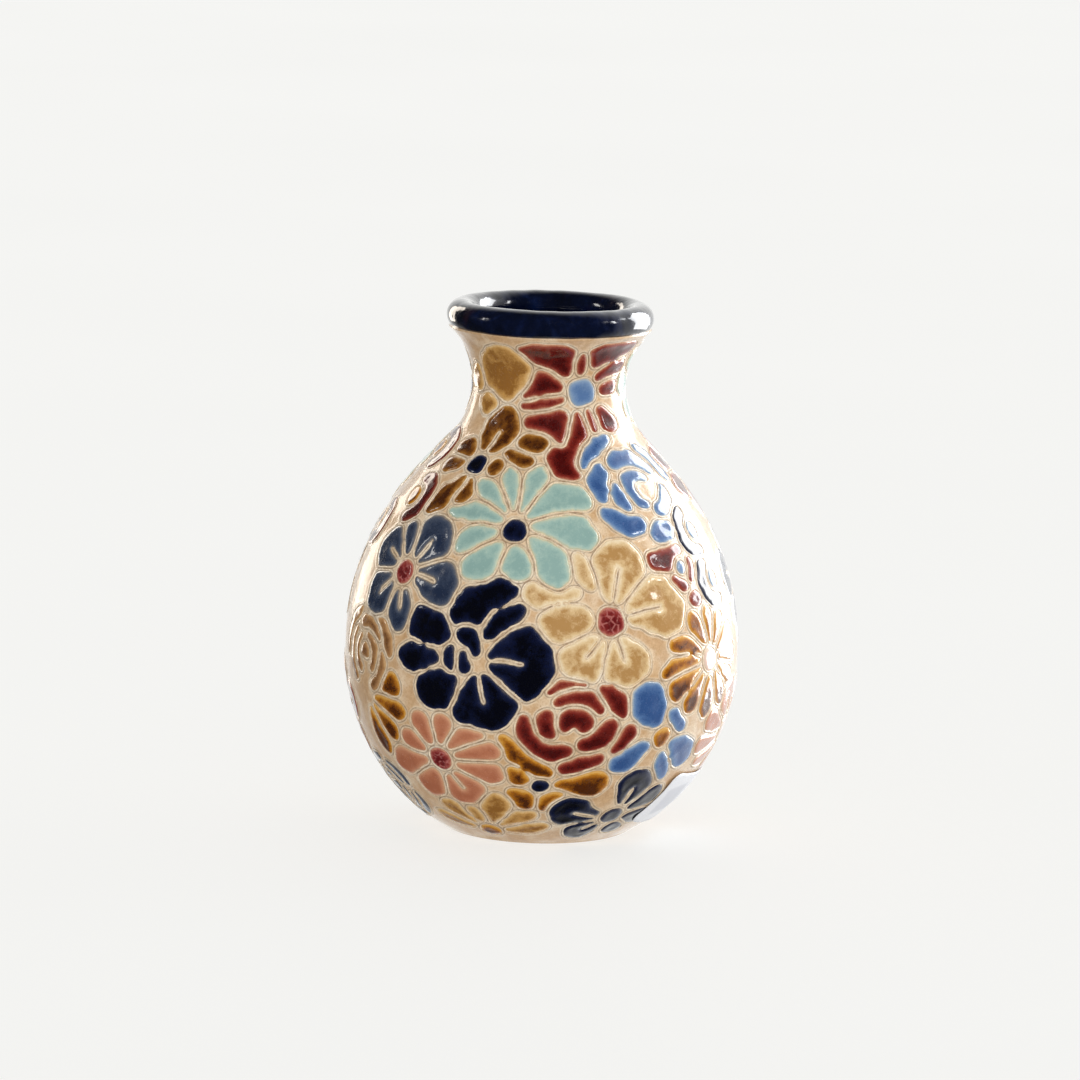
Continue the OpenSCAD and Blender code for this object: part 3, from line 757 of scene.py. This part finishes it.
MATERIALS = {
    "clay": clay(),
    "cobalt_glaze": cobalt("cobalt_glaze"),
    "label_paper": paper(),
}
SHADES = {  # of each glaze from thin to deep, as display values
    "crimson_glaze": ((200, 144, 112), (152, 72, 54), (122, 34, 26), (72, 6, 5)),
    "crackled_crimson": ((206, 150, 122), (164, 86, 74), (136, 46, 44), (98, 16, 20)),
    "maroon_glaze": ((164, 108, 80), (118, 50, 38), (92, 24, 20), (60, 10, 8)),
    "honey_glaze": ((228, 198, 150), (214, 172, 112), (194, 146, 80), (146, 98, 40)),
    "cream_glaze": ((240, 222, 190), (230, 206, 166), (214, 182, 134), (178, 136, 82)),
    "turquoise_glaze": ((216, 208, 174), (184, 198, 180), (160, 188, 178), (138, 170, 164)),
    "royal_blue_glaze": ((176, 186, 192), (120, 146, 180), (84, 118, 166), (48, 82, 136)),
    "steel_blue_glaze": ((156, 142, 126), (98, 100, 108), (64, 74, 94), (32, 44, 68)),
    "navy_glaze": ((78, 74, 80), (24, 32, 64), (10, 18, 48), (2, 3, 14)),
    "amber_glaze": ((218, 170, 96), (200, 138, 44), (158, 92, 10), (80, 36, 2)),
    "dark_amber_glaze": ((192, 146, 84), (152, 100, 38), (116, 68, 18), (70, 32, 6)),
    "brown_glaze": ((206, 166, 118), (180, 136, 90), (154, 110, 68), (112, 72, 38)),
    "pink_glaze": ((214, 172, 134), (204, 146, 112), (192, 126, 94), (174, 104, 74)),
    "sky_glaze": ((170, 176, 180), (136, 158, 184), (112, 140, 178), (84, 116, 162)),
    "pale_pink_glaze": ((226, 200, 172), (228, 202, 186), (222, 188, 172), (206, 166, 148)),
}
TEXTURES = {
    "crackled_crimson": dict(cloud=0.4, mottle=2.0, crackle=(186, 112, 106)),
    "honey_glaze": dict(cloud=0.45, mottle=3.6),
    "cream_glaze": dict(cloud=0.5, mottle=3.4, speck=(150, 96, 44)),
    "turquoise_glaze": dict(cloud=0.35, mottle=3.0),
    "navy_glaze": dict(cloud=0.5, mottle=7.0),
    "amber_glaze": dict(run_share=0.5, cloud=0.4),
    "dark_amber_glaze": dict(cloud=0.5, mottle=3.0),
    "brown_glaze": dict(cloud=0.4),
}
for name, shades in SHADES.items():
    MATERIALS[name] = glaze(name, shades, **TEXTURES.get(name, {}))
OWN_LOOK = {"crimson_eyes": "crackled_crimson"}  # nodes that don't look like their slot
PIGMENT = {  # what each glaze stains the clay with
    "crimson_glaze": (128, 50, 40), "maroon_glaze": (104, 42, 34),
    "honey_glaze": (186, 136, 70), "cream_glaze": (206, 168, 106),
    "turquoise_glaze": (150, 168, 146), "royal_blue_glaze": (110, 128, 158),
    "steel_blue_glaze": (78, 80, 92), "navy_glaze": (46, 46, 62),
    "amber_glaze": (178, 118, 46), "dark_amber_glaze": (132, 82, 30),
    "brown_glaze": (132, 92, 56), "pink_glaze": (200, 146, 112),
    "sky_glaze": (140, 156, 176), "pale_pink_glaze": (226, 202, 182),
}


# ---- the glaze pools ----

def pools_of(node):
    """The hand-drawn pools of a CAD node."""
    wobble = WOBBLE_EYE if node.endswith("_eyes") else WOBBLE_PETAL
    wobble = WOBBLE_RUFFLED if node in RUFFLED_NODES else wobble
    found = [
        Pool(loop, wobble, FIRST_SEED + SEED_STEP * index)
        for index, loop in enumerate(outline_loops(node, GLAZE))
    ]
    return [pool for pool in found if area_of(pool.outline) > LEAST_AREA]


def fill_the_outlines(pools):
    """Runs each pool out until only a carved band lies between it and what faces it.

    A pool that overlaps another has a gap below zero to it, and draws back instead.
    """
    spaces = [pool.lift(pool.outline, 0.0) for pool in pools]
    nudged = [pool.lift(pool.outline + NUDGE * outward_of(pool.outline), 0.0) for pool in pools]
    ways = [(near - space) / NUDGE for near, space in zip(nudged, spaces)]
    middles = np.array([space.mean(axis=0) for space in spaces])
    reaches = np.array([np.linalg.norm(s - m, axis=1).max() for s, m in zip(spaces, middles)])
    rooms = []
    for here, (space, way) in enumerate(zip(spaces, ways)):
        apart = np.linalg.norm(middles - middles[here], axis=1)
        close = np.where(apart < reaches + reaches[here] + OPEN_GAP)[0]
        others = np.vstack([spaces[index] for index in close])
        facing = np.vstack([ways[index] for index in close])
        foreign = np.concatenate([np.full(len(spaces[index]), index != here) for index in close])
        across = others[None, :] - space[:, None]
        gaps = np.linalg.norm(across, axis=2)
        onward = (across * way[:, None]).sum(axis=2)
        opposite = way @ facing.T < 0
        overlap = opposite & foreign & (onward < -FACING * gaps) & (gaps < 2 * DRAW_BACK)
        gap = np.where(opposite & (onward > FACING * gaps), gaps, OPEN_GAP)
        gap = np.where(overlap, -gaps, gap).min(axis=1)
        gaps_known = [BAND - 2 * DRAW_BACK, BAND + 2 * GROW_MOST, OPEN_GAP]
        room = np.interp(gap, gaps_known, [-DRAW_BACK, GROW_MOST, GROW_OPEN])
        rooms.append(rounded(room, ROOM_ROUNDINGS))
    for pool, room in zip(pools, rooms):
        pool.spread(room)


drawn = {node: pools_of(node) for node in sorted(frame["nodes"]) if node not in BASE_NODES}
fill_the_outlines([pool for own in drawn.values() for pool in own])
pools = [(pool, SLOT_OF[node]) for node, own in drawn.items() for pool in own]

for node, own in drawn.items():
    points, faces = [], []
    numbers = {"depth": [], "run": []}
    start = 0
    look = OWN_LOOK.get(node, SLOT_OF[node])
    for pool in own:
        pool_points, pool_faces, pool_numbers = glaze_pool(pool)
        points.append(pool_points)
        faces += [tuple(index + start for index in face) for face in pool_faces]
        for key in numbers:
            numbers[key].append(pool_numbers[key])
        start += len(pool_points)
    new_piece(
        node + "_glaze", np.vstack(points), faces, MATERIALS[look], [node],
        {key: np.concatenate(parts) for key, parts in numbers.items()},
    )


# ---- the clay body ----

def pool_field(azimuth, length):
    """Distances to the nearest and second pool, and the nearest pool's pigment, over a grid."""
    shape = (len(length), len(azimuth))
    near = np.full(shape, 9.0)
    second = np.full(shape, 9.0)
    pigment = np.zeros(shape + (4,))
    step = azimuth[1] - azimuth[0]
    for pool, slot in pools:
        low = pool.outline.min(axis=0) - FIELD_REACH
        high = pool.outline.max(axis=0) + FIELD_REACH
        rows = np.where((length > pool.length + low[1]) & (length < pool.length + high[1]))[0]
        widen = pool.radius / profile(length[rows])[0].min()
        first = math.floor((pool.azimuth + low[0] * widen / pool.radius - azimuth[0]) / step)
        last = math.ceil((pool.azimuth + high[0] * widen / pool.radius - azimuth[0]) / step)
        turns = np.arange(first, last + 1)
        columns = turns % len(azimuth)
        x = (azimuth[0] + turns * step - pool.azimuth) * pool.radius
        y = length[rows] - pool.length
        flat = np.stack(np.meshgrid(x, y), -1).reshape(-1, 2)
        away = distance_to(pool.outline, flat, pool.true_width(flat))
        away = np.where(inside(pool.outline, flat), -away, away).reshape(len(rows), len(columns))
        window = np.ix_(rows, columns)
        nearer = away < near[window]
        second[window] = np.where(nearer, near[window], np.minimum(second[window], away))
        near[window] = np.where(nearer, away, near[window])
        pigment[window] = np.where(nearer[..., None], paint(*PIGMENT[slot]), pigment[window])
    return near, second, pigment


def carve(near, second):
    """Height of the carved clay and share of cut line, from the distances to two pools."""
    cell = np.minimum(CUT_GAP - near, (second - near) / 2)
    cut = np.exp(-((cell / CUT_WIDTH) ** 2))
    rise = POOL_FLOOR + (BANK_HEIGHT - POOL_FLOOR) * smoothstep(-0.5, BANK_AT, near)
    fall = BANK_HEIGHT * np.exp(-(((near - BANK_AT) / 0.7) ** 2))
    crest = np.where(near < BANK_AT, rise, fall)
    return crest, cut


def foot_outline():
    """Radii and heights of the foot, from the recess out to the turn into the side."""
    turn = np.radians(np.linspace(-90, -60, 6))
    radii = [0.4 * RECESS_R] + [RECESS_R + step for step in (-0.8, -0.2, 0.0, 0.5, 2.0)]
    heights = [RECESS_DEPTH - step for step in (0.0, 0.0, 0.2, 0.8)] + [0.25, 0.0]
    radii += list(FOOT_R + FOOT_TURN * np.cos(turn))
    heights += list(FOOT_TURN + FOOT_TURN * np.sin(turn))
    return radii, heights


def inside_outline(top):
    """Radii and heights from the lip under the roll down the inner wall to the floor."""
    r, z, normal_r, normal_z = profile(np.linspace(top, length_at(FLOOR_Z + 4), 60))
    inner_r = list(r - WALL * normal_r)
    inner_z = list(z - WALL * normal_z)
    inner_r += [inner_r[-1] - 2, inner_r[-1] - 5, 12.0]
    inner_z += [FLOOR_Z + 1.2, FLOOR_Z, FLOOR_Z]
    lip_r = [LIP_R - 1.0, ROLL_X, ROLL_X - 2.0]
    lip_z = [LIP_Z, LIP_Z + 1.0, LIP_Z]
    return lip_r + inner_r, lip_z + inner_z


def clay_body():
    """The carved pot: the side from the carved field, then foot, lip and plain inside."""
    columns = int(round(2 * math.pi * BELLY_R / GRID))
    azimuth = np.arange(columns) * 2 * math.pi / columns - math.pi
    bottom = length_at(SIDE_BOTTOM_Z)
    top = length_at(SIDE_TOP_Z)
    length = np.linspace(bottom, top, int(round((top - bottom) / GRID)))
    near, second, pigment = pool_field(azimuth, length)
    crest, cut = carve(near, second)
    ends = smoothstep(bottom, bottom + 2.5, length) * (1 - smoothstep(top - 3.5, top - 1.5, length))
    around, along = np.meshgrid(azimuth, length)
    height = crest - CUT_DEPTH * cut
    height = (height + hand_wave(around, along)) * ends[:, None]
    side = on_side(around, along, height)

    foot_r, foot_z = foot_outline()
    inner_r, inner_z = inside_outline(top)
    before = spin(foot_r, foot_z, columns)
    after = spin(inner_r, inner_z, columns)
    half_turn = columns // 2
    before = np.roll(before.reshape(-1, columns, 3), half_turn, axis=1).reshape(-1, 3)
    after = np.roll(after.reshape(-1, columns, 3), half_turn, axis=1).reshape(-1, 3)
    points = np.vstack([[[0, 0, RECESS_DEPTH]], before, side.reshape(-1, 3), after, [[0, 0, FLOOR_Z]]])
    rings = len(foot_r) + len(length) + len(inner_r)

    def whole(values, foot=0.0, inner=0.0):
        """One value per point of the whole body, from those of the side."""
        return np.concatenate([
            np.full(1 + len(before), foot), np.asarray(values).ravel(), np.full(len(after) + 1, inner)
        ])

    bare = np.broadcast_to(1 - smoothstep(bottom, bottom + 1.2, length)[:, None], near.shape)
    stain = np.concatenate([
        np.zeros((1 + len(before), 4)), pigment.reshape(-1, 4), np.zeros((len(after) + 1, 4))
    ])
    numbers = {
        "crest": whole(crest),
        "cut": whole(cut),
        "bleed": whole(np.exp(-np.maximum(near, 0) / BLEED_REACH)),
        "open": whole(smoothstep(*OPEN_CLAY, near)),
        "bare": whole(bare, 1.0),
    }
    new_piece("clay_body_carved", points, lathe(rings, columns), MATERIALS["clay"],
              ["clay_body"], numbers, {"pigment": stain})


clay_body()


# ---- rim, inside and label ----

def rim():
    """The rolled rim under cobalt glaze, with a slightly uneven hand-turned line."""
    turn = np.arange(RIM_ROUND) * 2 * math.pi / RIM_ROUND
    azimuth = np.arange(RIM_COLUMNS) * 2 * math.pi / RIM_COLUMNS
    swing, way = np.meshgrid(turn, azimuth, indexing="ij")
    core = np.stack([np.sin(way) * ROLL_X, -np.cos(way) * ROLL_X, ROLL_Z + 3 * np.sin(swing)], -1)
    size = ROLL_R + sway(core, RIM_WAVES) - RIM_INSET
    r = ROLL_X + size * np.cos(swing)
    z = ROLL_Z + size * np.sin(swing)
    points = np.stack([r * np.sin(way), -r * np.cos(way), z], -1).reshape(-1, 3)
    new_piece("rim_roll", points, tube(RIM_ROUND, RIM_COLUMNS), MATERIALS["cobalt_glaze"],
              ["rim_glaze"])


def interior():
    """The glazed inside: an even lining with throwing rings, from the roll to the floor."""
    columns = 300
    length = np.linspace(length_at(162.0), length_at(FLOOR_Z + 5), 150)
    r, z, normal_r, normal_z = profile(length)
    rings = sum(deep * np.sin(length / pitch + phase) for deep, pitch, phase in THROWING_RINGS)
    lining = WALL + GLAZE + rings
    visible_r = list(r - lining * normal_r)
    visible_z = list(z - lining * normal_z)
    corner = visible_r[-1]
    visible_r += [corner - 1.2, corner - 3.5, corner - 7, 14, 4]
    visible_z += [FLOOR_Z + 2.6, FLOOR_Z + 1.2, FLOOR_Z + GLAZE, FLOOR_Z + GLAZE, FLOOR_Z + GLAZE]
    hidden_r = list(r - (WALL - SUNK) * normal_r)
    hidden_z = list(z - (WALL - SUNK) * normal_z)
    hidden_r += [corner - 0.5, corner - 5, 14]
    hidden_z += [FLOOR_Z + 0.6, FLOOR_Z - 0.2, FLOOR_Z - 0.2]
    radii = hidden_r[::-1] + visible_r
    heights = hidden_z[::-1] + visible_z
    points = np.vstack([
        [[0, 0, FLOOR_Z - 0.2]], spin(radii, heights, columns), [[0, 0, FLOOR_Z + GLAZE]]
    ])
    new_piece("interior_lining", points, lathe(len(radii), columns), MATERIALS["cobalt_glaze"],
              ["interior_glaze"])


def price_label():
    """The blank paper label, bridging the pools, with one corner lifting."""
    loop = max(outline_loops("price_label", GLAZE + PAPER), key=len)
    label = Pool(loop, 0.0, 1)
    points = lattice(label.outline, 1.2)
    points = points[inside(label.outline, points)]
    points = points[distance_to(label.outline, points) > 0.5]
    flat, faces = fill(label.outline, points)
    low, high = flat.min(axis=0), flat.max(axis=0)
    share = (flat - low) / (high - low)
    lift = 0.55 + 1.1 * np.clip(share[:, 0] - 0.8, 0, 1) ** 1.5 + 0.08 * np.sin(share[:, 0] * 9)
    azimuth, length = label.chart(flat)
    wave = hand_wave(azimuth, length)
    front = on_side(azimuth, length, lift + wave + PAPER)
    back = on_side(azimuth, length, lift + wave)
    count = len(flat)
    edge = len(label.outline)
    all_faces = list(faces) + [tuple(index + count for index in face[::-1]) for face in faces]
    all_faces += [
        (index, index + count, (index + 1) % edge + count, (index + 1) % edge) for index in range(edge)
    ]
    panel = plateau(PANEL_ACROSS, share[:, 0]) * plateau(PANEL_UP, share[:, 1])
    new_piece("price_label_paper", np.vstack([front, back]), all_faces, MATERIALS["label_paper"],
              ["price_label"], {"panel": np.concatenate([panel, panel * 0])})


rim()
interior()
price_label()


# ---- floor, light and camera ----

# Lengths here are in metres, angles in degrees.
MIDDLE_Z = 0.085  # height that the camera and the lights point at
VIEW_RISE = 9.8  # of the line of sight above the level
VIEW_DISTANCE = 1.7
VIEW_ROLL = 1.6
VIEW_SHIFT = (-0.0035, 0.0222)
LENS = 176.8
PALE = paint(246, 246, 244)  # of the floor and the room behind
FLOOR_SIZE = 8.0
FLOOR_GLOW = 0.80
ROOM_FRONT = 0.02  # brightness that the vase reflects from in front of it
ROOM_BACK = 1.1  # and from behind it
BRIGHT_WAY = (0.5, 0.866, 0.0)  # the direction of the brightest part of the room
DIFFUSE_ROOM = 0.5  # brightness that lights the vase evenly


def floor():
    """Pale floor that glows a little, so that it meets the pale room with no horizon."""
    mesh = bpy.data.meshes.new("floor")
    far = FLOOR_SIZE
    corners = [(-far, -far, 0), (far, -far, 0), (far, far, 0), (-far, far, 0)]
    mesh.from_pydata(corners, [], [(0, 1, 2, 3)])
    m = Recipe("floor", roughness=0.8, specular=0.1)
    m.shader.inputs["Emission Color"].default_value = PALE
    m.shader.inputs["Emission Strength"].default_value = FLOOR_GLOW
    mottle = m.ramp(m.noise(400.0, 2.0), [(0.3, paint(150, 150, 149)), (0.7, paint(154, 154, 153))])
    mesh.materials.append(m.finish(mottle))
    sheet = bpy.data.objects.new("floor", mesh)
    bpy.context.scene.collection.objects.link(sheet)
    sheet.visible_glossy = False
    sheet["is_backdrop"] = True


def softbox(name, azimuth, elevation, distance, width, height, power, colour, mirrored=True):
    """An area light that faces the middle of the vase and lights only the vase.

    Azimuth 0 is in front. A light that isn't mirrored shows in no reflection.
    """
    light = bpy.data.lights.new(name, "AREA")
    light.shape = "RECTANGLE"
    light.size = width
    light.size_y = height
    light.energy = power
    light.color = colour
    lamp = bpy.data.objects.new(name, light)
    bpy.context.scene.collection.objects.link(lamp)
    turn = math.radians(azimuth)
    rise = math.radians(elevation)
    way = Vector((math.sin(turn) * math.cos(rise), -math.cos(turn) * math.cos(rise), math.sin(rise)))
    lamp.location = Vector((0, 0, MIDDLE_Z)) + way * distance
    lamp.rotation_euler = way.to_track_quat("Z", "Y").to_euler()
    lamp.visible_glossy = mirrored
    lamp.light_linking.receiver_collection = vase_collection()


def vase_collection():
    """The collection of the vase's own pieces, which the softboxes light."""
    found = bpy.data.collections.get("vase")
    if not found:
        found = bpy.data.collections.new("vase")
        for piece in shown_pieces():
            found.objects.link(piece)
    return found


def world():
    """Pale to the camera; to the vase, a dim room in front and a bright one behind."""
    scene_world = bpy.data.worlds.new("studio")
    scene_world.use_nodes = True
    tree = scene_world.node_tree
    background = tree.nodes["Background"]
    background.inputs["Color"].default_value = PALE
    way = tree.nodes.new("ShaderNodeVectorMath")
    way.operation = "DOT_PRODUCT"
    tree.links.new(tree.nodes.new("ShaderNodeTexCoord").outputs["Generated"], way.inputs[0])
    way.inputs[1].default_value = BRIGHT_WAY
    room = tree.nodes.new("ShaderNodeMapRange")
    room.interpolation_type = "SMOOTHSTEP"
    room.inputs["From Min"].default_value = 0.1
    room.inputs["From Max"].default_value = 0.9
    room.inputs["To Min"].default_value = ROOM_FRONT
    room.inputs["To Max"].default_value = ROOM_BACK
    tree.links.new(way.outputs["Value"], room.inputs["Value"])
    path = tree.nodes.new("ShaderNodeLightPath")
    level = room.outputs["Result"]
    for ray, strength in (("Is Diffuse Ray", DIFFUSE_ROOM), ("Is Camera Ray", 1.0)):
        choice = tree.nodes.new("ShaderNodeMix")
        tree.links.new(path.outputs[ray], choice.inputs[MIX_SHARE])
        tree.links.new(level, choice.inputs[MIX_VALUE_A])
        choice.inputs[MIX_VALUE_B].default_value = strength
        level = choice.outputs[MIX_VALUE_OUT]
    tree.links.new(level, background.inputs["Strength"])
    bpy.context.scene.world = scene_world


def camera():
    """Looks at the vase from a little above, with the small roll of a hand-held view."""
    data = bpy.data.cameras.new("camera")
    data.sensor_width = 36.0
    data.lens = LENS
    data.clip_start = 0.05
    data.clip_end = 50.0
    data.shift_x = VIEW_SHIFT[0]
    data.shift_y = VIEW_SHIFT[1]
    eye = bpy.data.objects.new("camera", data)
    bpy.context.scene.collection.objects.link(eye)
    rise = math.radians(VIEW_RISE)
    back = Vector((0, -math.cos(rise), math.sin(rise)))
    eye.location = Vector((0, 0, MIDDLE_Z)) + back * VIEW_DISTANCE
    eye.rotation_mode = "QUATERNION"
    eye.rotation_quaternion = Quaternion(back, math.radians(VIEW_ROLL)) @ back.to_track_quat("Z", "Y")
    bpy.context.scene.camera = eye


floor()
softbox("left_window", azimuth=-142, elevation=10, distance=1.2, width=0.3, height=1.0,
        power=3.2, colour=(1.0, 0.90, 0.78))
softbox("right_window", azimuth=126, elevation=10, distance=1.2, width=0.8, height=1.3,
        power=20.0, colour=(0.96, 0.98, 1.0))
softbox("right_glint", azimuth=78, elevation=28, distance=1.4, width=0.16, height=0.3,
        power=1.5, colour=(1.0, 1.0, 1.0))
softbox("left_glint", azimuth=-84, elevation=24, distance=1.4, width=0.12, height=0.3,
        power=0.7, colour=(1.0, 0.97, 0.92))
softbox("front_fill", azimuth=15, elevation=35, distance=1.6, width=1.2, height=1.0,
        power=13.5, colour=(1.0, 0.98, 0.95), mirrored=False)
world()
camera()
bpy.context.scene.view_settings.view_transform = "Standard"
